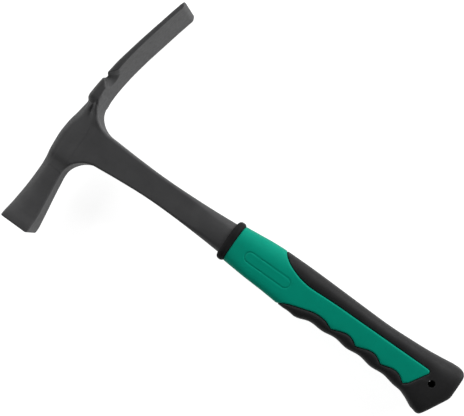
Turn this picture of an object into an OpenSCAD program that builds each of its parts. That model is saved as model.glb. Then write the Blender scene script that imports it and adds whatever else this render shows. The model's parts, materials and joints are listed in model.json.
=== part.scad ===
// Rock hammer. The head, shank and tang are one steel forging. A rigid core is moulded round the
// tang, a collar closes the mouth of the grip, and a green sleeve and a black over-mould cover it.
// +X runs along the handle from the head to the butt, +Y to the chisel tip, and +Z out of the side
// that has the nail notch. The origin is below the middle of the hammer, level with its lowest edge.

/* [Head] */
// Length of the poll, from the handle's axis to the striking face
poll_len = 79.5; // [74.5:0.5:84.5]
// Width of the square striking face, over its chamfer
poll_w = 23; // [20:0.5:25]
// Length of the blade, from the handle's axis to the chisel tip
blade_len = 118.5; // [112:0.5:124]
// Width of the blade near its tip
blade_w = 44; // [40:1:48]
// Thickness of the head where the handle joins it
cheek_t = 19; // [17:0.5:21]
// Radius of the throat between the blade and the shank
blade_throat_r = 20; // [17:1:22]
// Radius of the throat between the poll and the shank
poll_throat_r = 18; // [15:1:20]

/* [Nail notch] */
// Width of the notch at its mouth
notch_w = 5.6; // [5:0.1:6.4]
// Depth of the notch from the edge of the blade
notch_depth = 7.2; // [6:0.1:9]
// Distance of the notch from the handle's axis
notch_y = 45; // [43:0.5:48]
// Width of the bevel round the notch, on the side of the blade that faces the grip
notch_bevel = 3.5; // [2:0.5:4]

/* [Shank and tang] */
// Length of the shank, from the middle of the head to the mouth of the grip
shank_len = 133; // [120:1:145]
// Width of the shank at its waist
shank_w = 18.4; // [16:0.2:20]
// Thickness of the shank at its waist
shank_t = 11.4; // [9:0.2:13]
// Width of the tang at its root
tang_w = 16; // [12:0.5:17]
// Thickness of the tang
tang_t = 6; // [5:0.5:7]
// Diameter of the holes through the tang
tang_hole_d = 7; // [5:0.5:8]

/* [Grip] */
// Length of the grip, with its collar
grip_len = 186; // [180:1:195]
// Thickness of the grip at its palm
grip_t = 27; // [26:0.5:30]
// Thickness of the grip at the butt
butt_t = 31; // [29:0.5:34]
// Length of the collar
collar_len = 6; // [5:0.5:7]
// How far the collar stands out from the grip behind it
collar_lip = 1.2; // [0.8:0.1:2]
// Distance between the finger grooves
finger_pitch = 20.4; // [19.5:0.1:21]
// Depth of the finger grooves
finger_depth = 1.2; // [0.6:0.1:1.6]
// Thickness of the mouldings over the core
skin_t = 3.4; // [2.5:0.1:4]
// Length of the blank oval badge outline
badge_len = 38; // [30:1:44]
// Width of the blank oval badge outline
badge_w = 8.4; // [6:0.2:10]

/* [Lanyard hole] */
// Diameter of the lanyard hole
lanyard_d = 4.5; // [3.5:0.1:6]
// Distance of the lanyard hole from the end of the butt
lanyard_inset = 15.7; // [15:0.1:18]

/* [Hidden] */

crown_x = -10;                           // the crown of the head is the low end of the length
butt_x = shank_len + grip_len;
centre_x = (crown_x + butt_x) / 2;
centre_y = (blade_len - poll_len) / 2;
rest_z = blade_w / 2;                    // the hammer lies on the edge of its blade

corner_steps = 4;                        // facets in each rounded corner of a steel section
dome_points = 3;                         // points along each domed side of the shank
ring_points = 28;                        // points round a section of the grip
face_chamfer = 0.8;                      // chamfer round the striking face
tip_corner_r = 3;                        // round corners of the chisel tip
past = 40;                               // reach of a cut past what it cuts

// ---------- curves and lofts ----------

// Slope at point i of the smooth curve through the points p
function slope(p, i) =
    let (a = p[max(i - 1, 0)], b = p[min(i + 1, len(p) - 1)])
    (b[1] - a[1]) / (b[0] - a[0]);

// Number of the stretch of p that holds s
function stretch(p, s, i = 0) =
    i < len(p) - 2 && s > p[i + 1][0] ? stretch(p, s, i + 1) : i;

// Height at s of the smooth curve through the points p
function curve(p, s) =
    let (i = stretch(p, s), a = p[i], b = p[i + 1], h = b[0] - a[0], t = (s - a[0]) / h)
    (2 * t ^ 3 - 3 * t ^ 2 + 1) * a[1] + (t ^ 3 - 2 * t ^ 2 + t) * h * slope(p, i)
    + (3 * t ^ 2 - 2 * t ^ 3) * b[1] + (t ^ 3 - t ^ 2) * h * slope(p, i + 1);

// Points of an arc
function arc(c, r, from, to, steps = 6) =
    [for (k = [0:steps]) let (a = from + (to - from) * k / steps) c + r * [cos(a), sin(a)]];

// Section from lo to hi and half a thickness each way, with round corners: r_lo on the side at lo
// and r_hi on the side at hi
function round_rect(lo, hi, half, r_lo, r_hi) =
    [for (c = [0:3], k = [0:corner_steps])
        let (a = 90 * (c + k / corner_steps), above = c == 0 || c == 3,
            q = min(above ? r_hi : r_lo, 0.48 * (hi - lo), 0.98 * half))
        [(above ? hi - q : lo + q) + q * cos(a), (c < 2 ? half - q : q - half) + q * sin(a)]];

// Section as above, whose two broad sides rise by dome at their middles
function domed_rect(lo, hi, half, r, dome) =
    let (q = round_rect(lo, hi, half, r, r), n = corner_steps + 1)
    [for (c = [0:3]) each concat(
        [for (k = [0:n - 1]) q[c * n + k]],
        [for (k = [1:dome_points]) if (c % 2 == 0)
            let (t = k / (dome_points + 1), a = q[c * n + n - 1], b = q[(c + 1) * n])
            a + (b - a) * t + [0, (c == 0 ? 4 : -4) * dome * t * (1 - t)]])];

// Section of a grip: an oval that the exponents make squarer, n_lo on the side at lo and n_hi on
// the side at hi
function oval(lo, hi, half, n_lo, n_hi) =
    [for (k = [0:ring_points - 1])
        let (a = 360 * (k + 0.5) / ring_points, c = cos(a), s = sin(a), n = c < 0 ? n_lo : n_hi)
        [(lo + hi) / 2 + (hi - lo) / 2 * sign(c) * abs(c) ^ (2 / n),
         half * sign(s) * abs(s) ^ (2 / n)]];

// Solid through a list of sections that have the same number of points
module loft(rings) {
    n = len(rings[0]);
    m = len(rings);
    sides = [for (i = [0:m - 2], k = [0:n - 1])
        let (a = i * n + k, b = i * n + (k + 1) % n)
        each [[a, a + n, b], [b, a + n, b + n]]];
    first = [for (k = [0:n - 1]) k];
    last = [for (k = [n - 1:-1:0]) (m - 1) * n + k];
    polyhedron([for (ring = rings) each ring], concat([first], sides, [last]), convexity = 8);
}

// Section q in a plane across the handle, and one in a plane across the head
function across_handle(x, q) = [for (p = q) [x, p[0], p[1]]];
function across_head(y, q) = [for (p = q) [p[0], y, p[1]]];

// Places the hammer in its frame
module place() {
    translate([-centre_x, -centre_y, rest_z]) children();
}

// ---------- forging ----------

// The head's curves run from f = -1 at the striking face to f = 1 at the chisel tip
function head_y(f) = f < 0 ? f * poll_len : f * blade_len;
poll_mid = 1.5;                          // the poll leans this far towards the grip

// Side of the head that faces away from the grip
crown = [
    [-1, poll_mid - poll_w / 2], [-0.9, -9.9], [-0.8, -9.7], [-0.7, -9.3], [-0.58, -9.1],
    [-0.4, -9.2], [-0.32, -9.2], [-0.25, -9.4], [-0.15, -9.8], [-0.08, crown_x], [0.02, -9.5],
    [0.07, -8.8], [0.14, -7.5], [0.2, -6.5], [0.25, -5.6], [0.34, -3.9], [0.48, -0.8],
    [0.6, 2.7], [0.72, 6.3], [0.83, 9.7], [0.9, 11.8], [1, 15]];

// Side of the head that faces the grip
throat = [
    [-1, poll_mid + poll_w / 2], [-0.95, 13.3], [-0.88, 13.1], [-0.78, 12.3], [-0.64, 10.8],
    [-0.5, 9.4], [-0.38, 8.5], [-0.2, 8.5], [0.05, 8], [0.15, 5.2], [0.24, 3], [0.3, 2.6],
    [0.36, 2.8], [0.42, 3.3], [0.5, 4.4], [0.62, 7], [0.74, 10.3], [0.86, 13.7], [0.94, 16.1],
    [0.97, 16.9], [1, 15.9]];

// Half of the head's thickness: the blade is wide this way
cheek_half = cheek_t / 2;
blade_half = blade_w / 2;
head_half = [
    [-1, poll_w / 2], [-0.94, poll_w / 2 - 0.3], [-0.86, 10], [-0.7, 8.8], [-0.5, 8],
    [-0.4, 7.7], [-0.32, 7.9], [-0.26, 9], [-0.2, cheek_half - 0.1], [-0.1, cheek_half],
    [0.05, cheek_half + 0.1], [0.1, cheek_half], [0.14, cheek_half - 0.6], [0.175, 7.8],
    [0.19, 7.8], [0.2, 9.2], [0.212, 13], [0.228, 15.4], [0.25, 0.74 * blade_half],
    [0.34, 0.81 * blade_half], [0.42, 0.877 * blade_half], [0.5, 0.932 * blade_half],
    [0.6, 0.973 * blade_half], [0.7, 0.995 * blade_half], [0.8, blade_half], [1, blade_half]];

// Radius of the head's edges, on the side that faces away from the grip and on the one that faces it
crown_edge = [
    [-1, 1.4], [-0.9, 2.4], [-0.7, 4.4], [-0.5, 6], [-0.38, 6], [-0.28, 4.8], [-0.1, 4.2],
    [0.03, 5], [0.1, 7], [0.17, 7], [0.21, 4.6], [0.25, 3], [0.4, 2], [0.6, 1.1], [0.8, 0.6],
    [1, 0.35]];
throat_edge = [[-1, 1.3], [0.2, 1.2], [0.4, 0.9], [0.8, 0.6], [1, 0.35]];

// How far a round tip corner takes the blade's edge in
function tip_corner(y) =
    let (d = max(y - blade_len + tip_corner_r, 0))
    tip_corner_r - sqrt(tip_corner_r ^ 2 - d ^ 2);

function head_section(f, inset = 0) =
    round_rect(curve(crown, f) + inset, curve(throat, f) - inset,
        min(curve(head_half, f), blade_half) - tip_corner(head_y(f)) - inset,
        curve(crown_edge, f), curve(throat_edge, f));

// Where the sections of the head lie, closer together where its shape changes fastest
head_places = [
    1, 0.994, 0.985, 0.97, 0.94, for (f = [0.88:-0.06:0.34]) f, 0.3, 0.27, 0.25, 0.24, 0.23, 0.22,
    0.212, 0.206, 0.2, 0.195, 0.185, for (f = [0.17:-0.03:0.05]) f, for (f = [0:-0.06:-0.2]) f,
    for (f = [-0.23:-0.03:-0.35]) f, for (f = [-0.4:-0.08:-0.88]) f, -0.94];

module head() {
    chamfer_f = -1 + face_chamfer / poll_len;
    loft(concat(
        [for (f = head_places) across_head(head_y(f), head_section(f))],
        [across_head(head_y(chamfer_f), head_section(chamfer_f))],
        [across_head(-poll_len, head_section(-1, face_chamfer))]));
}

// Round throat of radius r, at a distance d from the head
function throat_rise(r, d) =
    let (c = min(max(d, r / 100), r))
    r - sqrt(r ^ 2 - (r - c) ^ 2);

blade_throat_x = 2.6;                    // where each throat leaves the head
poll_throat_x = 8.4;

// The shank's curves run from g = 0 at the middle of the head to g = 1 at the grip
shank_blade_side = [
    [0, 11.4], [0.1, 11.2], [0.2, 10.8], [0.34, 9.9], [0.52, shank_w / 2 + 0.1],
    [0.7, 9.7], [0.86, 10.7], [1, 12]];
shank_poll_side = [
    [0, 12.8], [0.12, 13.2], [0.2, 12.6], [0.34, 11], [0.52, shank_w / 2 + 0.4],
    [0.7, 9.7], [0.86, 10.6], [1, 11.7]];
shank_half = [
    [-0.04, 8], [0, cheek_t / 2 - 0.3], [0.08, 8.9], [0.15, 8.2], [0.3, 6.8],
    [0.52, shank_t / 2], [0.7, shank_t / 2 + 0.1], [0.84, 6.5], [0.93, 7.5], [1, 8.3]];
shank_edge = [[-0.04, 1.6], [0.3, 1.6], [0.6, 1.8], [0.75, 2.4], [0.88, 4.2], [1, 5.2]];
shank_dome = 0.8;                        // rise of the shank's broad sides where it enters the grip
function dome(g) = let (t = min(max((g - 0.68) / 0.32, 0), 1)) shank_dome * t * t * (3 - 2 * t);

function shank_section(g) =
    let (x = g * shank_len)
    domed_rect(-curve(shank_poll_side, max(g, 0)) - throat_rise(poll_throat_r, x - poll_throat_x),
        curve(shank_blade_side, max(g, 0)) + throat_rise(blade_throat_r, x - blade_throat_x),
        curve(shank_half, g), curve(shank_edge, g), dome(g));

shank_places = [
    -0.03, 0, 0.02, 0.025, 0.03, 0.037, 0.045, 0.055, 0.065, 0.07, 0.08, 0.1, 0.12, 0.15, 0.19,
    for (g = [0.24:0.06:0.84]) g, 0.88, 0.92, 0.96, 1];

module shank() {
    loft([for (g = shank_places) across_handle(g * shank_len, shank_section(g))]);
}

// The shank's last section goes straight on through the collar and into the core
shank_root = 9;
module shank_end() {
    translate([shank_len, 0, 0]) rotate([90, 0, 90]) linear_extrude(shank_root)
        polygon(shank_section(1));
}

tang_x = shank_len + shank_root;
tang_inset = 36;                         // from the butt to the centre of the tang's round end
tang_end_x = butt_x - tang_inset;
tang_tip_w = 0.7 * tang_w;
tang_holes = 3;

module tang() {
    difference() {
        translate([0, 0, -tang_t / 2]) linear_extrude(tang_t) union() {
            polygon([
                [tang_x, -tang_w / 2], [tang_end_x, -tang_tip_w / 2],
                [tang_end_x, tang_tip_w / 2], [tang_x, tang_w / 2]]);
            translate([tang_end_x, 0]) circle(d = tang_tip_w, $fn = 48);
        }
        for (k = [1:tang_holes])
            translate([tang_x + (tang_end_x - tang_x) * k / (tang_holes + 0.5), 0, -past / 2])
                cylinder(d = tang_hole_d, h = past, $fn = 48);
    }
}

// Outline of the notch across the blade, wider by d all round: it narrows to a round foot
notch_foot_r = 0.17 * notch_w;
notch_land = 1.6;                        // how much of the blade's thickness has no bevel
function notch_outline(d) =
    let (
        edge = curve(head_half, notch_y / blade_len), side = notch_w / 2 + d,
        foot = edge - notch_depth + notch_foot_r)
    concat(
        [[notch_y + side, edge + past / 4], [notch_y + side, edge]],
        arc([notch_y, foot], notch_foot_r + d, 0, -180, 8),
        [[notch_y - side, edge], [notch_y - side, edge + past / 4]]);

module nail_notch() {
    face = curve(throat, notch_y / blade_len);
    back = curve(crown, notch_y / blade_len);
    clear = notch_land / 2;              // the bevel's cut goes this far past the face
    translate([back - clear, 0, 0]) rotate([90, 0, 90]) linear_extrude(face - back + 2 * clear)
        polygon(notch_outline(0));
    grow = notch_bevel / (face - back - notch_land);
    loft([for (x = [back + notch_land, face + clear])
        [for (p = notch_outline((x - back - notch_land) * grow)) [x, p[0], p[1]]]]);
}

module hammer_forging() {
    color("dimgray") place() union() {
        difference() {
            union() {
                head();
                shank();
            }
            nail_notch();
        }
        shank_end();
        tang();
    }
}

// ---------- grip ----------

// The grip's curves give the distance from the handle's axis against the distance from its mouth
unit = grip_len / 186;
function along(s) = shank_len + s * unit;
grip_x = shank_len + collar_len;         // front of the sleeve, behind the collar

grip_blade_side = [
    [0, 14], [6, 14.3], [17, 15.4], [27, 16.4], [37, 17], [50, 17.1], [65, 17], [88, 16.4],
    [117, 15.6], [129, 15.5], [142, 16], [157, 16.9], [169, 18.2], [181, 19.9], [190, 21.2]];
grip_poll_side = [
    [0, 13.9], [6, 14.1], [24, 15.1], [41, 15.8], [54, 16.7], [63, 16.9], [70, 16.6], [80, 14.8],
    [90, 13.9], [111, 13.9], [123, 14.2], [133, 14.6], [143, 15.2], [153, 15.9], [161, 18.2],
    [169, 22], [175, 24.2], [190, 27]];
grip_half = [
    [0, 11.2], [6, 11.5], [17, 12.5], [42, grip_t / 2], [100, grip_t / 2], [125, grip_t / 2],
    [150, 0.85 * grip_t / 2 + 0.15 * butt_t / 2 + 0.05], [166, butt_t / 2 - 0.2],
    [190, butt_t / 2]];
// Squareness of the section towards the blade's side and towards the poll's side
upper_square = [[0, 2.6], [35, 2.6], [60, 3.2], [150, 3.2], [190, 3.6]];
lower_square = [
    [0, 2.6], [14, 4.6], [28, 6.5], [58, 6.5], [80, 4.6], [190, 4.6]];

first_crest = 70;                        // first crest between the finger grooves
last_crest = first_crest + 4 * finger_pitch;

// Ripple of the finger grooves, which fades in and out at its ends
function ripple(s) =
    let (fade = min(max(min(s - first_crest + 10, last_crest + 8 - s) / 8, 0), 1))
    fade * finger_depth / 2 * cos(360 * (s - first_crest) / finger_pitch);

function grip_section(s, inset = 0, rippled = 1) =
    oval(-curve(grip_poll_side, s) - rippled * ripple(s) + inset, curve(grip_blade_side, s) - inset,
        curve(grip_half, s) - inset, curve(lower_square, s), curve(upper_square, s));

skin_end = 189;                          // the skin's loft ends past the butt, which is cut from it
skin_places = [
    collar_len / unit, for (s = [11:6:59]) s, for (s = [62:3.4:158]) s, for (s = [161:4:181]) s,
    skin_end];

// Outline of the butt's end in plan: a square end above, a slanted one below, and round corners
butt_outline = concat(
    [[butt_x - 80, -60]],
    arc([butt_x - 13.7, -19.4], 4, -114, -27),
    arc([butt_x - 10, 1.2], 10, -27, 0),
    arc([butt_x - 6.2, 14.6], 6.2, 0, 97),
    [[butt_x - 80, 60], [grip_x - past, 60], [grip_x - past, -60]]);

// Outer shape of the whole grip behind the collar
module grip_skin() {
    intersection() {
        loft([for (s = skin_places) across_handle(along(s), grip_section(s))]);
        translate([0, 0, -past]) linear_extrude(2 * past) polygon(butt_outline);
    }
}

// ---------- plan of the green sleeve ----------

// Edge of the green below the black spine
spine_edge = [
    [38, 19.5], [39.3, 16.9], [42, 13.8], [46, 11.2], [50, 9.4], [54.5, 7.8], [60, 6.4],
    [67, 5.6], [76, 5.9], [88, 6.3], [110, 6.4], [135, 6.5], [160, 6.7]];
// Edge of the green in front of the finger grooves
ramp_edge = [
    [52, -19.5], [54.5, -16.4], [59.5, -13.1], [66, -10.7], [73, -8.5], [78, -7], [84, -6.4],
    [89, -6.9]];

cusp_y = -9.1;                           // the green comes down to here between the fingers
hump = 3.5;                              // how far each finger bay rises into the green
bays = 3;
first_cusp = 94.6;
// Height of the finger bays' edge, t along a bay, between cusps at heights a and b
function bay(t, a, b) = a + (b - a) * t + hump * sin(180 * t ^ 1.27);

tongue_foot = [first_cusp + bays * finger_pitch - 1, -11.1];
tongue_tip = [163.2, 4.9];               // centre of the round corner at the tongue's tip

green_outline = [for (p = concat(
    [for (s = [38:1.5:60]) [s, curve(spine_edge, s)]],
    [for (s = [64:8:160]) [s, curve(spine_edge, s)]],
    arc(tongue_tip, 1.8, 90, -28),
    [[157.6, -8.6]],
    [for (k = [bays - 1:-1:0], t = [1:-1 / 8:1 / 16])
        [first_cusp + (k + t) * finger_pitch - (k == bays - 1 ? t : 0),
         bay(t, cusp_y, k == bays - 1 ? tongue_foot[1] : cusp_y)]],
    [[first_cusp, cusp_y]],
    [for (s = [89:-2.5:52]) [s, curve(ramp_edge, s)]],
    [[50, -past], [-past, -past], [-past, past], [37, past]])) [along(p[0]), p[1]]];

module green_plan() {
    translate([0, 0, -past]) linear_extrude(2 * past) polygon(green_outline);
}

// ---------- core, collar and mouldings ----------

lanyard_x = butt_x - lanyard_inset;
eye_d = lanyard_d + 5;                   // hole in the core that the over-mould lines
core_end = 172;                          // the core stops short of the butt's end
core_foot = 165;                         // behind this the core is narrower all round
core_step = 2;

module core_shape() {
    difference() {
        loft([for (s = [collar_len / unit, 17, 42, 63, 80, 90, 129, 157, core_end])
            across_handle(along(s), grip_section(s, skin_t + (s > core_foot ? core_step : 0), 0))]);
        translate([lanyard_x, 0, -past]) cylinder(d = eye_d, h = 2 * past, $fn = 48);
    }
}

module grip_core() {
    color([0.16, 0.16, 0.17]) place() difference() {
        core_shape();
        shank_end();
        tang();
    }
}

// Round bead over the mouth of the grip
bead_steps = 8;
bead_drop = 0.8;                         // fall of the bead at its ends, as a share of its radius
module front_collar() {
    r = collar_len / 2;
    color([0.09, 0.09, 0.09]) place() difference() {
        loft([for (k = [0:bead_steps])
            let (a = 180 * k / bead_steps, low = bead_drop * r * (1 - sin(a)))
            across_handle(grip_x - r - r * cos(a),
                grip_section(collar_len, low - collar_lip, 0))]);
        shank_end();
    }
}

// Blank oval outline sunk in both faces of the sleeve
badge_s = 36;                            // middle of the badge, from the mouth of the grip
badge_y = -1.4;
badge_groove = 0.9;                      // width of the groove
badge_floor = 0.8;                       // depth of the groove's floor below the palm's thickness
module badge_outline() {
    flat = (badge_len - badge_w) / 2;
    for (side = [0, 1]) translate([along(badge_s), badge_y, 0]) mirror([0, 0, side])
        translate([0, 0, grip_t / 2 - badge_floor]) linear_extrude(past / 4) difference() {
            stadium(flat, badge_w);
            stadium(flat, badge_w - 2 * badge_groove);
        }
}

module stadium(flat, w) {
    square([2 * flat, w], center = true);
    for (side = [-1, 1]) translate([side * flat, 0]) circle(d = w, $fn = 48);
}

module green_sleeve() {
    color([0, 0.48, 0.39]) place() difference() {
        intersection() {
            grip_skin();
            green_plan();
        }
        core_shape();
        shank_end();
        badge_outline();
    }
}

module black_overmould() {
    color([0.13, 0.13, 0.13]) place() difference() {
        grip_skin();
        green_plan();
        core_shape();
        translate([lanyard_x, 0, -past]) cylinder(d = lanyard_d, h = 2 * past, $fn = 48);
    }
}

hammer_forging();
grip_core();
front_collar();
green_sleeve();
black_overmould();
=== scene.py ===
"""Looks of the rock hammer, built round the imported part.

Every visible piece is a solid given by a distance field: a function that is negative inside the
piece and zero on its surface. The fields are written in millimetres in the hammer's own frame:
x runs along the handle from the middle of the head, y along the head from the poll to the blade,
and z across the thickness. The meshes are then placed in the row frame, in metres.
"""

import json
import math
from itertools import product

import bpy
import numpy as np
from mathutils import Matrix, Vector


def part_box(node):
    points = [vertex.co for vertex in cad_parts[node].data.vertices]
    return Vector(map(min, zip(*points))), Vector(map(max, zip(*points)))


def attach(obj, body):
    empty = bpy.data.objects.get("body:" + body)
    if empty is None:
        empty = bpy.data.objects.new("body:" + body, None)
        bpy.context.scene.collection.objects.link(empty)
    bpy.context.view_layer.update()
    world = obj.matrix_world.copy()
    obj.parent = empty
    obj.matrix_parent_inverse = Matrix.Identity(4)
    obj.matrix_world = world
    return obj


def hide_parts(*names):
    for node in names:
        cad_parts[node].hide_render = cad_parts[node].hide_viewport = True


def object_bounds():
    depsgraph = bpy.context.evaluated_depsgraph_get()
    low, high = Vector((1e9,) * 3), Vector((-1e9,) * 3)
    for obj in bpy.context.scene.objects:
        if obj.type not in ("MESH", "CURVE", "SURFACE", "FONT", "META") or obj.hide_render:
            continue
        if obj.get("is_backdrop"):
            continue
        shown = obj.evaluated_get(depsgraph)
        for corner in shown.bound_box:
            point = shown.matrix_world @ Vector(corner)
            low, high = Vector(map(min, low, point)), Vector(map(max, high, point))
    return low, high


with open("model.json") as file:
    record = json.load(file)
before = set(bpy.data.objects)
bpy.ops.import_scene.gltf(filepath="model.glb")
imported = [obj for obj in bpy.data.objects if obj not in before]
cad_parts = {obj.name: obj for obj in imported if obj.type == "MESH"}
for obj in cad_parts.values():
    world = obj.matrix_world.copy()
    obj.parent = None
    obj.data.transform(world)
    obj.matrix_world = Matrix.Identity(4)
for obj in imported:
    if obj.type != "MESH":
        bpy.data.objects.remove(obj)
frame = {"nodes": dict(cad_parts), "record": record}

CAD_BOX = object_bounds()
MM = 0.001

# ---------- sizes, in millimetres ----------

POLL_LEN = 79.5
POLL_W = 23.0
BLADE_LEN = 118.5
BLADE_W = 44.0
CROWN_X = -10.0
SHANK_LEN = 133.0
SHANK_ROOT = 9.0
TANG_W = 16.0
TANG_T = 6.0
TANG_HOLE_R = 3.5
GRIP_LEN = 186.0
BUTT_X = SHANK_LEN + GRIP_LEN
COLLAR_LEN = 6.0
COLLAR_LIP = 1.2
GRIP_X = SHANK_LEN + COLLAR_LEN
SKIN_T = 3.4
FINGER_PITCH = 20.4
FINGER_DEPTH = 1.2
LANYARD_R = 2.25

# Size of a cell of the grids that the meshes come from
CELL = 0.55


def hammer_origin():
    """Where the hammer's own origin lies in the row frame, in metres."""
    low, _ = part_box("hammer_forging")
    return np.array([low.x - CROWN_X * MM, low.y + POLL_LEN * MM, low.z + BLADE_W / 2 * MM])


ORIGIN = hammer_origin()


def lanyard_centre():
    """The lanyard hole's place along and across the handle, from the record's mount."""
    mount = next(m for m in frame["record"]["mounts"] if m["name"] == "lanyard_hole")
    return (np.array(mount["pos_m"]) - ORIGIN)[:2] / MM


# ---------- curves ----------

def curve(points, steps=2400):
    """The smooth curve through the points, as a function of an array."""
    at, value = np.array(points, float).T
    count = len(at)
    before = np.maximum(np.arange(count) - 1, 0)
    after = np.minimum(np.arange(count) + 1, count - 1)
    slope = (value[after] - value[before]) / (at[after] - at[before])
    fine = np.linspace(at[0], at[-1], steps)
    i = np.clip(np.searchsorted(at, fine) - 1, 0, count - 2)
    span = at[i + 1] - at[i]
    t = (fine - at[i]) / span
    table = (
        (2 * t ** 3 - 3 * t ** 2 + 1) * value[i]
        + (t ** 3 - 2 * t ** 2 + t) * span * slope[i]
        + (3 * t ** 2 - 2 * t ** 3) * value[i + 1]
        + (t ** 3 - t ** 2) * span * slope[i + 1]
    )
    return lambda q: np.interp(q, fine, table)


def arc(centre, radius, start, end, steps=10):
    """Points of an arc, its angles in degrees."""
    a = np.radians(np.linspace(start, end, steps + 1))
    return [(centre[0] + radius * c, centre[1] + radius * s) for c, s in zip(np.cos(a), np.sin(a))]


def smoothstep(low, high, value):
    """0 below low, 1 above high, and a smooth rise between them."""
    t = np.clip((value - low) / (high - low), 0, 1)
    return t * t * (3 - 2 * t)


# ---------- distance fields ----------

def round_max(a, b, r):
    """What two fields share, with a round edge of radius r where they meet."""
    return np.minimum(-r, np.maximum(a, b)) + np.hypot(np.maximum(a + r, 0), np.maximum(b + r, 0))


def round_min(a, b, r):
    """Two fields joined, with a fillet of radius r where they meet."""
    return np.maximum(r, np.minimum(a, b)) - np.hypot(np.maximum(r - a, 0), np.maximum(r - b, 0))


def outline_distance(outline, x, y):
    """Signed distance from points to a closed outline, negative inside it."""
    start = np.array(outline, float)
    end = np.roll(start, -1, axis=0)
    best = np.full(x.shape, 1e9)
    inside = np.zeros(x.shape, bool)
    for (ax, ay), (bx, by) in zip(start, end):
        length = (bx - ax) ** 2 + (by - ay) ** 2
        if length < 1e-12:
            continue
        t = np.clip(((x - ax) * (bx - ax) + (y - ay) * (by - ay)) / length, 0, 1)
        best = np.minimum(best, (x - ax - t * (bx - ax)) ** 2 + (y - ay - t * (by - ay)) ** 2)
        if ay != by:
            crosses = ((y < ay) != (y < by)) & (x < ax + (y - ay) * (bx - ax) / (by - ay))
            inside ^= crosses
    return np.sqrt(best) * np.where(inside, -1, 1)


def plan_field(outline, low, high, step=0.3):
    """The distance to an outline, from a fine plan grid, as a function of x and y."""
    nx = int((high[0] - low[0]) / step) + 2
    ny = int((high[1] - low[1]) / step) + 2
    gx, gy = np.meshgrid(low[0] + step * np.arange(nx), low[1] + step * np.arange(ny), indexing="ij")
    table = outline_distance(outline, gx, gy)

    def field(x, y):
        u = np.clip((x - low[0]) / step, 0, nx - 1.001)
        v = np.clip((y - low[1]) / step, 0, ny - 1.001)
        i, j = u.astype(int), v.astype(int)
        u, v = u - i, v - j
        near = table[i, j] * (1 - v) + table[i, j + 1] * v
        far = table[i + 1, j] * (1 - v) + table[i + 1, j + 1] * v
        return near * (1 - u) + far * u

    return field


# ---------- meshes from fields ----------

# A grid is first sampled in blocks of this many cells. Those whose middle lies within SEARCH blocks
# of the surface are then sampled cell by cell.
BLOCK = 4
SEARCH = 1.5
CORNERS = list(product((0, 1), repeat=3))
EDGES = [
    (a, b) for a, b in product(range(8), repeat=2)
    if a < b and sum(p != q for p, q in zip(CORNERS[a], CORNERS[b])) == 1
]


def sample(field, low, high, cell):
    """The field on a grid that fills the box. Away from the surface only its sign is right."""
    size = BLOCK * cell
    low = np.array(low, float) - size
    blocks = np.ceil((np.array(high, float) + size - low) / size).astype(int)
    middles = [low[k] + (np.arange(blocks[k]) + 0.5) * size for k in range(3)]
    coarse = field(*np.meshgrid(*middles, indexing="ij"))
    grid = coarse.astype(np.float32)
    wanted = np.abs(coarse) < SEARCH * size
    for axis in range(3):
        grid = np.repeat(grid, BLOCK, axis)
        wanted = np.repeat(wanted, BLOCK, axis)
    grid = np.pad(grid, ((0, 1),) * 3, mode="edge")
    wanted = np.pad(wanted, ((0, 1),) * 3)
    for axis in range(3):
        wanted |= np.roll(wanted, 1, axis)
    place = np.nonzero(wanted)
    grid[place] = field(*(low[k] + place[k] * cell for k in range(3)))
    return grid, low


def corner_part(grid, corner):
    """The grid as seen from one corner of every cell."""
    return grid[tuple(slice(c, c + n - 1) for c, n in zip(corner, grid.shape))]


def surface_net(grid, low, cell):
    """A closed mesh of quads round the negative part of the grid."""
    inside = grid < 0
    count = sum(corner_part(inside, c).astype(np.int8) for c in CORNERS)
    cells = np.argwhere((count > 0) & (count < 8))
    number = np.full(count.shape, -1, np.int32)
    number[tuple(cells.T)] = np.arange(len(cells))
    values = np.stack([grid[tuple((cells + c).T)] for c in CORNERS], 1).astype(float)
    total = np.zeros((len(cells), 3))
    crossings = np.zeros(len(cells))
    for a, b in EDGES:
        hit = (values[:, a] < 0) != (values[:, b] < 0)
        t = values[hit, a] / (values[hit, a] - values[hit, b])
        total[hit] += np.array(CORNERS[a]) + t[:, None] * np.subtract(CORNERS[b], CORNERS[a])
        crossings[hit] += 1
    points = low + cell * (cells + total / crossings[:, None])

    quads = []
    for axis in range(3):
        u, v = np.eye(3, dtype=int)[[(axis + 1) % 3, (axis + 2) % 3]]
        here = np.delete(inside, -1, axis)
        there = np.delete(inside, 0, axis)
        for flip in (False, True):
            at = np.argwhere((here & ~there) if not flip else (~here & there))
            ring = [at, at - u, at - u - v, at - v]
            corners = np.stack([number[tuple(c.T)] for c in ring], 1)
            quads.append(corners[:, ::-1] if flip else corners)
    return points, np.concatenate(quads)


def gradient(field, points, reach=0.06):
    """Slope of the field at the points, by central differences."""
    slope = np.empty_like(points)
    for axis in range(3):
        step = np.zeros(3)
        step[axis] = reach
        slope[:, axis] = (field(*(points + step).T) - field(*(points - step).T)) / (2 * reach)
    return slope


LEAST_SLOPE = 0.2
LONGEST_MOVE = 0.6


def onto_surface(field, points, cell, steps=2):
    """Moves the points onto the surface of the field, by at most LONGEST_MOVE cells a step."""
    for _ in range(steps):
        slope = gradient(field, points)
        square = np.maximum((slope ** 2).sum(1), LEAST_SLOPE ** 2)
        move = (field(*points.T) / square)[:, None] * slope
        length = np.linalg.norm(move, axis=1)
        points = points - move * np.minimum(1, LONGEST_MOVE * cell / np.maximum(length, 1e-9))[:, None]
    return points


def neighbour_middle(points, quads):
    """The middle of each point's neighbours."""
    start = quads.ravel()
    end = np.roll(quads, -1, axis=1).ravel()
    one, other = np.concatenate([start, end]), np.concatenate([end, start])
    count = np.maximum(np.bincount(one, minlength=len(points)), 1)
    total = [np.bincount(one, points[other, k], len(points)) for k in range(3)]
    return np.stack(total, 1) / count[:, None]


EVENING_ROUNDS = 2


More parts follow.
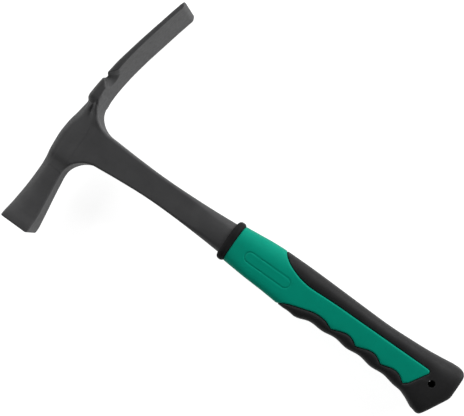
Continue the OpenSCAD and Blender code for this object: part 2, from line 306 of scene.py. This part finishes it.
def mesh_of(field, low, high, cell):
    """Points and quads of the surface of a field inside a box, evenly spaced."""
    grid, corner = sample(field, low, high, cell)
    points, quads = surface_net(grid, corner, cell)
    for _ in range(EVENING_ROUNDS):
        points = points + 0.5 * (neighbour_middle(points, quads) - points)
        points = onto_surface(field, points, cell)
    return points, quads


# Height of a point over its neighbours, in cells, that counts as a full bend
FULL_BEND = 0.16


def bend_measure(field, points, quads):
    """How sharply the surface bends at each point, from -1 in a groove to 1 on an edge."""
    normal = gradient(field, points)
    normal /= np.maximum(np.linalg.norm(normal, axis=1), 1e-9)[:, None]
    rise = ((points - neighbour_middle(points, quads)) * normal).sum(1)
    for _ in range(2):
        rise = 0.5 * rise + 0.5 * neighbour_middle(np.repeat(rise[:, None], 3, 1), quads)[:, 0]
    return np.clip(rise / (FULL_BEND * CELL), -1, 1)


def make_piece(name, field, low, high, node, material):
    """Meshes a field, and puts the piece in the row frame in place of a CAD node."""
    points, quads = mesh_of(field, low, high, CELL)
    mesh = bpy.data.meshes.new(name)
    mesh.from_pydata((points * MM + ORIGIN).tolist(), [], quads.tolist())
    mesh.polygons.foreach_set("use_smooth", np.ones(len(quads), bool))
    bend = bend_measure(field, points, quads).astype(np.float32)
    # groove_shade marks creases and grooves, where the materials paint shade into the colour
    for attribute, value in (("edge_wear", bend), ("groove_shade", -bend)):
        layer = mesh.attributes.new(attribute, "FLOAT", "POINT")
        layer.data.foreach_set("value", np.maximum(value, 0))
    mesh.materials.append(material)
    mesh.update()
    piece = bpy.data.objects.new(name, mesh)
    bpy.context.scene.collection.objects.link(piece)
    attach(piece, "root")
    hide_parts(node)
    return piece, points, quads


# ---------- the forging ----------

# The head's curves run from -1 at the striking face to 1 at the tip. The crown is the side that
# faces away from the grip, and the throat is the side that faces it.
POLL_LEAN = 1.5

crown = curve([
    (-1, POLL_LEAN - POLL_W / 2), (-0.9, -9.9), (-0.8, -9.7), (-0.7, -9.3), (-0.58, -9.1),
    (-0.4, -9.2), (-0.32, -9.2), (-0.25, -9.4), (-0.15, -9.8), (-0.08, CROWN_X), (0.02, -9.5),
    (0.07, -8.8), (0.14, -7.5), (0.2, -6.5), (0.25, -5.6), (0.34, -3.9), (0.48, -0.8), (0.6, 2.7),
    (0.72, 6.3), (0.83, 9.7), (0.9, 11.8), (1, 15)])
throat = curve([
    (-1, POLL_LEAN + POLL_W / 2), (-0.95, 13.3), (-0.88, 13.1), (-0.78, 12.3), (-0.64, 10.8), (-0.5, 9.4),
    (-0.38, 8.5), (-0.2, 8.5), (0.05, 8), (0.15, 5.2), (0.24, 3), (0.3, 2.6), (0.36, 2.8),
    (0.42, 3.3), (0.5, 4.4), (0.62, 7), (0.74, 10.3), (0.86, 13.7), (0.94, 16.1),
    (0.97, 16.9), (1, 15.9)])
head_half = curve([
    (-1, POLL_W / 2), (-0.94, POLL_W / 2 - 0.3), (-0.86, 10), (-0.7, 8.8), (-0.5, 8),
    (-0.4, 7.7), (-0.32, 7.9), (-0.26, 9), (-0.2, 9.4), (-0.1, 9.5), (0.05, 9.6), (0.1, 9.5),
    (0.14, 8.9), (0.175, 7.8), (0.19, 7.8), (0.2, 9.2), (0.212, 13), (0.228, 15.4),
    (0.25, 16.3), (0.34, 17.8), (0.42, 19.3), (0.5, 20.5), (0.6, 21.4), (0.7, 21.9),
    (0.8, 22), (1, 22)])
crown_edge = curve([
    (-1, 1.4), (-0.9, 2.4), (-0.7, 4.4), (-0.5, 6), (-0.38, 6), (-0.28, 4.8), (-0.1, 4.2), (0.03, 5),
    (0.1, 7), (0.17, 7), (0.21, 4.6), (0.25, 3), (0.4, 2), (0.6, 1.1), (0.8, 0.6), (1, 0.35)])
throat_edge = curve([
    (-1, 1.3), (0.2, 1.2), (0.4, 0.9), (0.8, 0.6), (1, 0.35)])

# How far the poll's broad sides fall towards the crown and towards the throat
CROWN_FALL = 2.2
THROAT_FALL = 0.66
FACE_CHAMFER = 0.8
FACE_EDGE_R = 0.3
CHAMFER_EDGE_R = 0.4
TIP_CORNER_R = 3.0
TIP_EDGE_R = 0.2


def head_place(y):
    """Where y lies on the head's curves, from -1 at the striking face to 1 at the tip."""
    return np.clip(np.where(y < 0, y / POLL_LEN, y / BLADE_LEN), -1, 1)


def head_field(x, y, z):
    """The head: poll, cheek and blade."""
    f = head_place(y)
    low, high = crown(f), throat(f)
    depth = np.clip(y - BLADE_LEN + TIP_CORNER_R, 0, TIP_CORNER_R)
    corner = TIP_CORNER_R - np.sqrt(TIP_CORNER_R ** 2 - depth ** 2)
    half = np.minimum(head_half(f), BLADE_W / 2) - corner
    middle = (low + high) / 2
    edge = np.where(x < middle, crown_edge(f), throat_edge(f))
    edge = np.minimum(edge, 0.48 * (high - low))
    side = np.abs(x - middle) - (high - low) / 2
    across = np.clip((x - middle) / (high - low) * 2, -1, 1)
    fall = np.where(across < 0, CROWN_FALL, THROAT_FALL) * across ** 2
    half = half - fall * (1 - smoothstep(-0.45, -0.25, f)) * smoothstep(-1.0, -0.8, f)
    body = round_max(side, np.abs(z) - half, edge)
    face = -POLL_LEN - y
    body = round_max(body, face, FACE_EDGE_R)
    chamfer = (np.maximum(side, np.abs(z) - half) + face + FACE_CHAMFER) / math.sqrt(2)
    body = round_max(body, chamfer, CHAMFER_EDGE_R)
    return round_max(body, y - BLADE_LEN, TIP_EDGE_R)


# The round throats, and where each leaves the head
BLADE_THROAT_R = 20.0
BLADE_THROAT_X = 2.6
POLL_THROAT_R = 18.0
POLL_THROAT_X = 8.4

# The shank's curves run from 0 at the middle of the head to 1 at the mouth of the grip

shank_blade_side = curve([
    (0, 11.4), (0.1, 11.2), (0.2, 10.8), (0.34, 9.9), (0.52, 9.3), (0.7, 9.7), (0.86, 10.7),
    (1, 12)])
shank_poll_side = curve([
    (0, 12.8), (0.12, 13.2), (0.2, 12.6), (0.34, 11), (0.52, 9.6), (0.7, 9.7), (0.86, 10.6),
    (1, 11.7)])
shank_half = curve([
    (-0.04, 9.45), (0.04, 9.45), (0.08, 9.1), (0.15, 8.2), (0.3, 6.8), (0.52, 5.7), (0.7, 5.8),
    (0.84, 6.5), (0.93, 7.5), (1, 8.3)])
shank_edge = curve([
    (-0.04, 1.6), (0.3, 1.6), (0.6, 1.8), (0.75, 2.4), (0.88, 4.2), (1, 5.2)])
SHANK_DOME = 2.4
SHANK_START, SHANK_PAST = -4.0, 150.0


def shank_side(start, radius, width):
    """Half of the shank's plan: a round throat from the head, and then the shank's own width."""
    turn = np.linspace(0, math.pi / 2, 24)
    x = start + radius * (1 - np.cos(turn))
    rise = radius * (1 - np.sin(turn))
    straight = np.append(np.linspace(x[-1] + 3, SHANK_LEN, 40), SHANK_PAST)
    x = np.concatenate([[SHANK_START], x, straight])
    rise = np.concatenate([[radius], rise, np.zeros(straight.size)])
    return x, width(np.clip(x / SHANK_LEN, 0, 1)) + rise


def shank_outline():
    """The shank and its throats in plan."""
    above = shank_side(BLADE_THROAT_X, BLADE_THROAT_R, shank_blade_side)
    below = shank_side(POLL_THROAT_X, POLL_THROAT_R, shank_poll_side)
    return list(zip(*above)) + list(zip(below[0][::-1], -below[1][::-1]))


shank_plan = plan_field(shank_outline(), (-14, -36), (152, 36))
WEB_FOOT_RISE = 1.4
WEB_RISE = 4.2


def throat_web(x, y, plan):
    """How far the web behind the blade stands above the cheek, along the round throat."""
    rise = WEB_FOOT_RISE * smoothstep(9, 18, y) + WEB_RISE * smoothstep(17, 28, y)
    return rise * smoothstep(-9, 0.5, plan) * smoothstep(-3, 2, x)


def shank_field(x, y, z):
    """The shank and its throats, with a shallow valley across it in front of the blade."""
    g = np.clip(x / SHANK_LEN, -0.04, 1)
    plan = shank_plan(x, y)
    valley = np.maximum(shank_half(g) - head_half(head_place(y)), 0)
    half = shank_half(g) - valley * (1 - smoothstep(-6, -2, plan) * smoothstep(0, 10, y))
    middle = (shank_blade_side(g) - shank_poll_side(g)) / 2
    across = (y - middle) / (shank_blade_side(g) + shank_poll_side(g)) * 2
    half = half + SHANK_DOME * smoothstep(0.68, 1, g) * (0.35 - np.clip(across, -1, 1) ** 2)
    half = half + throat_web(x, y, plan)
    body = round_max(plan, np.abs(z) - half, shank_edge(g))
    return np.maximum(body, x - SHANK_LEN - SHANK_ROOT)


TANG_X = SHANK_LEN + SHANK_ROOT
TANG_INSET = 36
TANG_END_X = BUTT_X - TANG_INSET
TANG_TAPER = 0.3
TANG_HOLES = 3
TANG_EDGE_R = 0.4
TANG_OVERLAP = 3


def tang_field(x, y, z):
    """The flat tang inside the grip, with its holes."""
    t = np.clip((x - TANG_X) / (TANG_END_X - TANG_X), 0, 1)
    half = TANG_W / 2 * (1 - TANG_TAPER * t)
    beyond = np.maximum(x - TANG_END_X, 0)
    plan = np.where(beyond > 0, np.hypot(beyond, y) - half, np.abs(y) - half)
    for k in range(1, TANG_HOLES + 1):
        hole = TANG_X + (TANG_END_X - TANG_X) * k / (TANG_HOLES + 0.5)
        plan = np.maximum(plan, TANG_HOLE_R - np.hypot(x - hole, y))
    flat = round_max(plan, np.abs(z) - TANG_T / 2, TANG_EDGE_R)
    return np.maximum(flat, TANG_X - TANG_OVERLAP - x)


NOTCH_W = 5.6
NOTCH_Y = 45.0
NOTCH_DEPTH = 7.2
NOTCH_FOOT_R = 0.17 * NOTCH_W
NOTCH_LAND = 1.6
NOTCH_SPREAD = 1.13
NOTCH_BEVEL = 6.0
NOTCH_EDGE_R = 0.35


def notch_field(x, y, z):
    """The nail notch: a slot with a round foot, which spreads towards the grip."""
    edge = head_half(NOTCH_Y / BLADE_LEN)
    foot = edge - NOTCH_DEPTH + NOTCH_FOOT_R
    rise = np.clip((z - foot) / (edge - foot), 0, 1)
    half = NOTCH_FOOT_R + (NOTCH_W / 2 - NOTCH_FOOT_R) * rise
    across = np.abs(y - NOTCH_Y)
    slot = np.where(z > foot, across - half, np.hypot(across, z - foot) - NOTCH_FOOT_R)
    start = crown(NOTCH_Y / BLADE_LEN) + NOTCH_LAND
    spread = NOTCH_SPREAD * np.clip(x - start, 0, NOTCH_BEVEL)
    return (slot - spread) / math.hypot(1, 0.6 * NOTCH_SPREAD)


def steel_field(x, y, z):
    """The whole forging. Its fillet grows from the cheek to the blade's root."""
    fillet = 0.3 + 0.9 * smoothstep(17, 25, y)
    body = round_min(head_field(x, y, z), shank_field(x, y, z), fillet)
    body = round_max(body, -notch_field(x, y, z), NOTCH_EDGE_R)
    return np.minimum(body, tang_field(x, y, z))


# ---------- the grip ----------

# The grip's curves run from its mouth, in millimetres: its two sides in plan, half of its
# thickness, and how square its section is above and below
blade_side = curve([
    (0, 14), (6, 14.3), (17, 15.4), (27, 16.4), (37, 17), (50, 17.1), (65, 17), (88, 16.4),
    (117, 15.6), (129, 15.5), (142, 16), (157, 16.9), (169, 18.2), (181, 19.9), (190, 21.2)])
poll_side = curve([
    (0, 13.9), (6, 14.1), (24, 15.1), (41, 15.8), (54, 16.7), (63, 16.9), (70, 16.6), (80, 14.8),
    (90, 13.9), (111, 13.9), (123, 14.2), (133, 14.6), (143, 15.2), (153, 15.9), (161, 18.2),
    (169, 22), (175, 24.2), (190, 27)])
grip_half = curve([
    (0, 11.2), (6, 11.5), (17, 12.5), (42, 13.5), (100, 13.5), (125, 13.5), (150, 13.85),
    (166, 15.3), (190, 15.5)])
upper_square = curve([(0, 2.6), (35, 2.6), (60, 3.2), (150, 3.2), (190, 3.6)])
lower_square = curve([(0, 2.6), (14, 4.6), (28, 6.5), (58, 6.5), (80, 4.6), (190, 4.6)])

FIRST_CREST = 70.0
LAST_CREST = FIRST_CREST + 4 * FINGER_PITCH


def ripple(s):
    """Crests and grooves for the fingers, which fade in and out at their ends."""
    fade = np.clip(np.minimum(s - FIRST_CREST + 10, LAST_CREST + 8 - s) / 8, 0, 1)
    return fade * FINGER_DEPTH / 2 * np.cos(2 * math.pi * (s - FIRST_CREST) / FINGER_PITCH)


def oval_field(y, z, low, high, half, power):
    """Distance to an oval section that the power makes squarer."""
    a, b = (high - low) / 2, half
    u = np.maximum(np.abs(y - (low + high) / 2) / a, 1e-3)
    w = np.maximum(np.abs(z) / b, 1e-3)
    g = (u ** power + w ** power) ** (1 / power)
    slope = g ** (1 - power) * np.hypot(u ** (power - 1) / a, w ** (power - 1) / b)
    return (g - 1) / slope


def skin_field(x, y, z):
    """Outer shape of the grip before its end is shaped."""
    s = np.clip(x - SHANK_LEN, 0, 190)
    low, high = -poll_side(s) - ripple(s), blade_side(s)
    power = np.where(y < (low + high) / 2, lower_square(s), upper_square(s))
    return oval_field(y, z, low, high, grip_half(s), power)


def butt_outline():
    """End of the butt in plan: square above, slanted below, with round corners."""
    return (
        [(BUTT_X - 80, -60)]
        + arc((BUTT_X - 13.7, -19.4), 4, -114, -27)
        + arc((BUTT_X - 10, 1.2), 10, -27, 0)
        + arc((BUTT_X - 6.2, 14.6), 6.2, 0, 97)
        + [(BUTT_X - 80, 60), (GRIP_X - 60, 60), (GRIP_X - 60, -60)])


spine_edge = curve([
    (38, 19.5), (39.3, 16.9), (42, 13.8), (46, 11.2), (50, 9.4), (54.5, 7.8), (60, 6.4),
    (67, 5.6), (76, 5.9), (88, 6.3), (110, 6.4), (135, 6.5), (160, 6.7)])
ramp_edge = curve([
    (52, -19.5), (54.5, -16.4), (59.5, -13.1), (66, -10.7), (73, -8.5), (78, -7), (84, -6.4),
    (89, -6.9)])

CUSP_Y = -9.1
TONGUE_FOOT_Y = -11.1
HUMP = 3.5
HUMP_SKEW = 1.27
BAYS = 3
FIRST_CUSP = 94.6


def finger_bays():
    """Edge of the green along the finger grooves, from the tongue back to the first cusp."""
    points = []
    for k in range(BAYS - 1, -1, -1):
        last = k == BAYS - 1
        end = TONGUE_FOOT_Y if last else CUSP_Y
        for t in np.linspace(1, 0, 17)[:-1]:
            y = CUSP_Y + (end - CUSP_Y) * t + HUMP * math.sin(math.pi * t ** HUMP_SKEW)
            points.append((FIRST_CUSP + (k + t) * FINGER_PITCH - (t if last else 0), y))
    return points


def green_outline():
    """Plan of the green sleeve: a broad front, and a tongue between spine and fingers."""
    above = np.concatenate([np.arange(38, 60, 1), np.arange(60, 161, 4)])
    ramp = np.arange(89, 51.9, -1)
    points = (
        list(zip(above, spine_edge(above)))
        + arc((163.2, 4.9), 1.8, 90, -28)
        + [(157.6, -8.6)]
        + finger_bays()
        + [(FIRST_CUSP, CUSP_Y)]
        + list(zip(ramp, ramp_edge(ramp)))
        + [(50, -40), (-40, -40), (-40, 40), (37, 40)])
    return [(SHANK_LEN + s, y) for s, y in points]


PLAN_LOW, PLAN_HIGH = (GRIP_X - 8, -32), (BUTT_X + 6, 26)
butt_plan = plan_field(butt_outline(), PLAN_LOW, PLAN_HIGH, 0.25)
green_plan = plan_field(green_outline(), PLAN_LOW, PLAN_HIGH, 0.25)

LIP_R = 0.9
SEAM = 0.06
MOUTH_EDGE_R = 0.5
BADGE_X, BADGE_Y = SHANK_LEN + 36, -1.4
BADGE_LEN = 38.0
BADGE_W = 8.4
BADGE_INSET = 0.45
BADGE_GROOVE_R = 0.55
BADGE_DEPTH = 0.32


def badge_line(x, y):
    """Distance to the middle of the blank badge's outline."""
    beyond = np.maximum(np.abs(x - BADGE_X) - (BADGE_LEN - BADGE_W) / 2, 0)
    return np.abs(np.hypot(beyond, y - BADGE_Y) - (BADGE_W / 2 - BADGE_INSET))


def green_field(x, y, z):
    """The green sleeve, hollow for the core, with the badge's outline sunk in both faces."""
    skin = skin_field(x, y, z)
    groove = np.maximum(1 - (badge_line(x, y) / BADGE_GROOVE_R) ** 2, 0)
    body = round_max(skin + BADGE_DEPTH * groove, green_plan(x, y) + SEAM / 2, LIP_R)
    body = round_max(body, GRIP_X + SEAM - x, MOUTH_EDGE_R)
    return np.maximum(body, -(skin + SKIN_T))


LANYARD_X, LANYARD_Y = lanyard_centre()
BORE_EDGE_R = 0.35
BUTT_EDGE_R = 2.8
CORE_FOOT = 160.0


def core_hollow(x, y, z):
    """The space in the black moulding for the core. The core's narrow end, past CORE_FOOT, is left
    inside the black."""
    return np.maximum(skin_field(x, y, z) + SKIN_T, x - SHANK_LEN - CORE_FOOT)


# Depth of the sink along the green's edge, and how far it reaches into the black
FINGER_SINK, FINGER_SINK_REACH = 0.8, 2.5
SPINE_SINK, SPINE_SINK_REACH = 1.6, 8.0


def seam_sink(x, y):
    """How far the black surface sinks towards the green: deep along the spine, slight elsewhere."""
    fade = 1 - 0.6 * smoothstep(135, 165, x - SHANK_LEN)
    spine = smoothstep(-2, 2, y)
    s = np.clip(x - SHANK_LEN, 0, 190)
    middle = (blade_side(s) - poll_side(s)) / 2
    outward = np.abs(y - middle) / ((blade_side(s) + poll_side(s)) / 2)
    fade = fade * (1 - smoothstep(0.76, 0.97, outward))
    depth = fade * (FINGER_SINK + (SPINE_SINK - FINGER_SINK) * spine)
    reach = FINGER_SINK_REACH + (SPINE_SINK_REACH - FINGER_SINK_REACH) * spine
    return depth * np.maximum(1 - np.maximum(green_plan(x, y), 0) / reach, 0) ** 2


def black_field(x, y, z):
    """The black moulding: spine, finger rest and butt, with the lanyard hole through it."""
    skin = round_max(skin_field(x, y, z) + seam_sink(x, y), butt_plan(x, y), BUTT_EDGE_R)
    body = round_max(skin, SEAM / 2 - green_plan(x, y), LIP_R)
    body = np.maximum(body, -core_hollow(x, y, z))
    bore = LANYARD_R - np.hypot(x - LANYARD_X, y - LANYARD_Y)
    return round_max(body, bore, BORE_EDGE_R)


BEAD_R = 2.6


def collar_field(x, y, z):
    """The round bead over the mouth of the grip."""
    ring = skin_field(np.full(x.shape, GRIP_X), y, z) - COLLAR_LIP
    bead = round_max(ring, np.abs(x - SHANK_LEN - COLLAR_LEN / 2) - COLLAR_LEN / 2, BEAD_R)
    return round_max(bead, SEAM - shank_field(np.minimum(x, SHANK_LEN), y, z), MOUTH_EDGE_R)


# ---------- materials ----------

def new_material(name):
    """A material, its node tree and its shader."""
    material = bpy.data.materials.new(name)
    material.use_nodes = True
    tree = material.node_tree
    shader = next(n for n in tree.nodes if n.type == "BSDF_PRINCIPLED")
    return material, tree, shader


def noise(tree, scale, detail, roughness=0.5):
    """Noise over the object, its scale in features a metre."""
    place = tree.nodes.new("ShaderNodeTexCoord")
    node = tree.nodes.new("ShaderNodeTexNoise")
    node.inputs["Scale"].default_value = scale
    node.inputs["Detail"].default_value = detail
    node.inputs["Roughness"].default_value = roughness
    tree.links.new(place.outputs["Object"], node.inputs["Vector"])
    return node.outputs["Fac"]


def spread(tree, value, low, high, new_low, new_high):
    """Maps a value from one range to another."""
    node = tree.nodes.new("ShaderNodeMapRange")
    for name, number in zip(("From Min", "From Max", "To Min", "To Max"), (low, high, new_low, new_high)):
        node.inputs[name].default_value = number
    tree.links.new(value, node.inputs["Value"])
    return node.outputs["Result"]


def mix(tree, factor, first, second):
    """Mixes two colours, each a plain colour or another node's output."""
    node = tree.nodes.new("ShaderNodeMix")
    node.data_type = "RGBA"
    for socket, value in ((node.inputs[6], first), (node.inputs[7], second)):
        if isinstance(value, tuple):
            socket.default_value = (*value, 1)
        else:
            tree.links.new(value, socket)
    tree.links.new(factor, node.inputs[0])
    return node.outputs[2]


def bumps(tree, shader, layers):
    """Stacks bump layers, each a height, its strength and its depth in metres."""
    last = None
    for height, strength, depth in layers:
        node = tree.nodes.new("ShaderNodeBump")
        node.inputs["Strength"].default_value = strength
        node.inputs["Distance"].default_value = depth
        tree.links.new(height, node.inputs["Height"])
        if last is not None:
            tree.links.new(last, node.inputs["Normal"])
        last = node.outputs["Normal"]
    tree.links.new(last, shader.inputs["Normal"])


def attribute(tree, name):
    """A value that the mesh keeps at its points."""
    node = tree.nodes.new("ShaderNodeAttribute")
    node.attribute_name = name
    return node.outputs["Fac"]


def wear_factor(tree, amount):
    """Share of wear at the convex edges, broken up by noise."""
    patchy = tree.nodes.new("ShaderNodeMath")
    patchy.operation = "MULTIPLY"
    tree.links.new(attribute(tree, "edge_wear"), patchy.inputs[0])
    tree.links.new(spread(tree, noise(tree, 260, 4), 0.35, 0.65, 0.2, amount), patchy.inputs[1])
    return patchy.outputs[0]


# Share of the dark colour left in creases and grooves, where painted shade darkens the colour
GROOVE_SHADE_TONE = 0.35


def finish_material(name, dark, light, edge, rough, grain, wear, specular=0.5):
    """A mottled finish: two close colours, a lighter edge, painted shade in creases and grooves, uneven
    gloss and a fine grain.

    Grain is a list of bumps, each with its features a metre, its strength and its depth in metres.
    """
    material, tree, shader = new_material(name)
    mottle = spread(tree, noise(tree, 90, 5), 0.3, 0.7, 0, 1)
    colour = mix(tree, mottle, dark, light)
    colour = mix(tree, wear_factor(tree, wear), colour, edge)
    # Painted shade: the colour darkens towards this tone in creases and grooves
    painted_groove_shade = tuple(GROOVE_SHADE_TONE * channel for channel in dark)
    colour = mix(tree, spread(tree, attribute(tree, "groove_shade"), 0.3, 0.95, 0, 1), colour, painted_groove_shade)
    tree.links.new(colour, shader.inputs["Base Color"])
    gloss = spread(tree, noise(tree, 420, 3), 0.3, 0.7, *rough)
    tree.links.new(gloss, shader.inputs["Roughness"])
    shader.inputs["Specular IOR Level"].default_value = specular
    bumps(tree, shader, [(noise(tree, scale, 3), strength, depth) for scale, strength, depth in grain])
    return material


def hammer_steel():
    """Forged steel with a matt black finish."""
    return finish_material(
        "black_steel", (0.031, 0.031, 0.032), (0.038, 0.038, 0.039), (0.075, 0.075, 0.077),
        (0.54, 0.64), [(160, 0.25, 0.0004), (1700, 0.22, 0.00012)], 0.5, 0.27)


def green_rubber():
    """Matt green soft moulding."""
    return finish_material(
        "green_rubber", (0.000, 0.193, 0.129), (0.000, 0.205, 0.137), (0.002, 0.235, 0.160),
        (0.50, 0.60), [(1500, 0.18, 0.00012), (3600, 0.12, 0.00006)], 0.3, 0.05)


def black_rubber():
    """Matt black soft moulding."""
    return finish_material(
        "black_rubber", (0.0090, 0.0090, 0.0092), (0.0120, 0.0120, 0.0125), (0.034, 0.034, 0.035),
        (0.54, 0.66), [(1400, 0.22, 0.00014), (3600, 0.15, 0.00006)], 0.5, 0.16)


def bore_painted_shade():
    """The inside of the lanyard hole: a near-black colour that is painted shade for the unlit hole, and a
    duller gloss than the outside.
    """
    return finish_material(
        "bore_painted_shade", (0.002, 0.002, 0.002), (0.003, 0.003, 0.003), (0.006, 0.006, 0.006),
        (0.80, 0.90), [(1400, 0.22, 0.00014)], 0.2, 0.0)


def collar_rubber():
    """The bead at the grip's mouth, a little duller than the rest of the black."""
    return finish_material(
        "collar_rubber", (0.008, 0.008, 0.0082), (0.0105, 0.0105, 0.0108), (0.016, 0.016, 0.0165),
        (0.62, 0.70), [(1400, 0.15, 0.0001)], 0.4, 0.05)


def core_nylon():
    """The hidden core's hard plastic."""
    return finish_material(
        "core_nylon", (0.016, 0.016, 0.018), (0.022, 0.022, 0.024), (0.03, 0.03, 0.032),
        (0.45, 0.6), [(2400, 0.2, 0.00008)], 0.0)


# ---------- stage ----------

FLOOR_REACH = 6.0
FLOOR_GLOW = 0.86


def make_floor():
    """A plain pale floor, on which the hammer lies. A glow of its own keeps its shadows light."""
    reach = FLOOR_REACH
    mesh = bpy.data.meshes.new("floor")
    corners = [(-reach, -reach, 0), (reach, -reach, 0), (reach, reach, 0), (-reach, reach, 0)]
    mesh.from_pydata(corners, [], [(0, 1, 2, 3)])
    material, tree, shader = new_material("pale_floor")
    tone = mix(tree, noise(tree, 3, 2), (0.34, 0.34, 0.34), (0.36, 0.36, 0.36))
    tree.links.new(tone, shader.inputs["Base Color"])
    shader.inputs["Roughness"].default_value = 0.9
    shader.inputs["Emission Color"].default_value = (1, 1, 1, 1)
    shader.inputs["Emission Strength"].default_value = FLOOR_GLOW
    mesh.materials.append(material)
    floor = bpy.data.objects.new("floor", mesh)
    bpy.context.scene.collection.objects.link(floor)
    floor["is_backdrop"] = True


def make_light(name, azimuth, elevation, distance, size, power):
    """A square soft box that faces the hammer, from an azimuth measured from +X towards +Y."""
    a, e = math.radians(azimuth), math.radians(elevation)
    towards = Vector((math.cos(a) * math.cos(e), math.sin(a) * math.cos(e), math.sin(e)))
    data = bpy.data.lights.new(name, "AREA")
    data.shape = "SQUARE"
    data.size = size
    data.energy = power
    lamp = bpy.data.objects.new(name, data)
    lamp.location = towards * distance
    lamp.rotation_mode = "QUATERNION"
    lamp.rotation_quaternion = towards.to_track_quat("Z", "Y")
    bpy.context.scene.collection.objects.link(lamp)


def make_world(strength):
    """An even white surrounding."""
    world = bpy.data.worlds.new("studio")
    bpy.context.scene.world = world
    world.use_nodes = True
    background = next(n for n in world.node_tree.nodes if n.type == "BACKGROUND")
    background.inputs["Color"].default_value = (1, 1, 1, 1)
    background.inputs["Strength"].default_value = strength


# The camera's place in metres, the way back from its view, its upward direction, and its lens
CAMERA_AT = Vector((0.0527, 0.01851, 0.7300))
CAMERA_BACK = Vector((0.11841, 0.02628, 0.99262))
CAMERA_UP = Vector((-0.5753, 0.8170, 0.0))
CAMERA_LENS = 78.28


def make_camera():
    """The camera looks down on the hammer, which lies from upper left to lower right."""
    data = bpy.data.cameras.new("camera")
    data.lens = CAMERA_LENS
    data.sensor_width = 36.0
    camera = bpy.data.objects.new("camera", data)
    back = CAMERA_BACK.normalized()
    right = CAMERA_UP.cross(back).normalized()
    up = back.cross(right)
    turn = Matrix((right, up, back)).transposed().to_4x4()
    camera.matrix_world = Matrix.Translation(CAMERA_AT) @ turn
    bpy.context.scene.collection.objects.link(camera)
    bpy.context.scene.camera = camera


# ---------- the scene ----------

# How far past the lanyard hole's radius the faces take the hole's painted shade
BORE_SHADE_REACH = 0.3


def make_pieces():
    """The visible pieces. The hidden core keeps its CAD solid."""
    make_piece(
        "hammer_steel", steel_field, (CROWN_X - 2, -POLL_LEN, -BLADE_W / 2),
        (TANG_END_X + 6, BLADE_LEN, BLADE_W / 2), "hammer_forging", hammer_steel())
    make_piece(
        "collar_ring", collar_field, (SHANK_LEN, -16, -13), (GRIP_X, 16, 13), "front_collar",
        collar_rubber())
    make_piece(
        "sleeve_green", green_field, (GRIP_X, -18, -15), (SHANK_LEN + 166, 18, 15), "green_sleeve",
        green_rubber())
    piece, points, quads = make_piece(
        "overmould_black", black_field, (SHANK_LEN + 36, -27, -16), (BUTT_X, 21, 16),
        "black_overmould", black_rubber())
    # The faces inside the lanyard hole get a near-black material, painted shade for the unlit hole
    piece.data.materials.append(bore_painted_shade())
    middles = points[quads].mean(axis=1)
    away = np.hypot(middles[:, 0] - LANYARD_X, middles[:, 1] - LANYARD_Y)
    in_bore = away < LANYARD_R + BORE_SHADE_REACH
    piece.data.polygons.foreach_set("material_index", in_bore.astype(np.int32))
    core = frame["nodes"]["grip_core"]
    core.material_slots[0].material = core_nylon()


make_pieces()
make_floor()
# Azimuth and elevation in degrees, distance and size in metres, and power in watts
make_light("key", 62, 20, 1.6, 0.9, 32)
make_light("back", 128, 26, 1.6, 0.9, 12)
make_light("side", 184, 28, 1.6, 0.9, 17)
make_light("front", -14, 9, 1.8, 1.0, 9)
make_world(0.075)
make_camera()
bpy.context.scene.view_settings.view_transform = "Standard"

boxes = {"cad": CAD_BOX, "visual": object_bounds()}
{name: [list(corner) for corner in box] for name, box in boxes.items()}
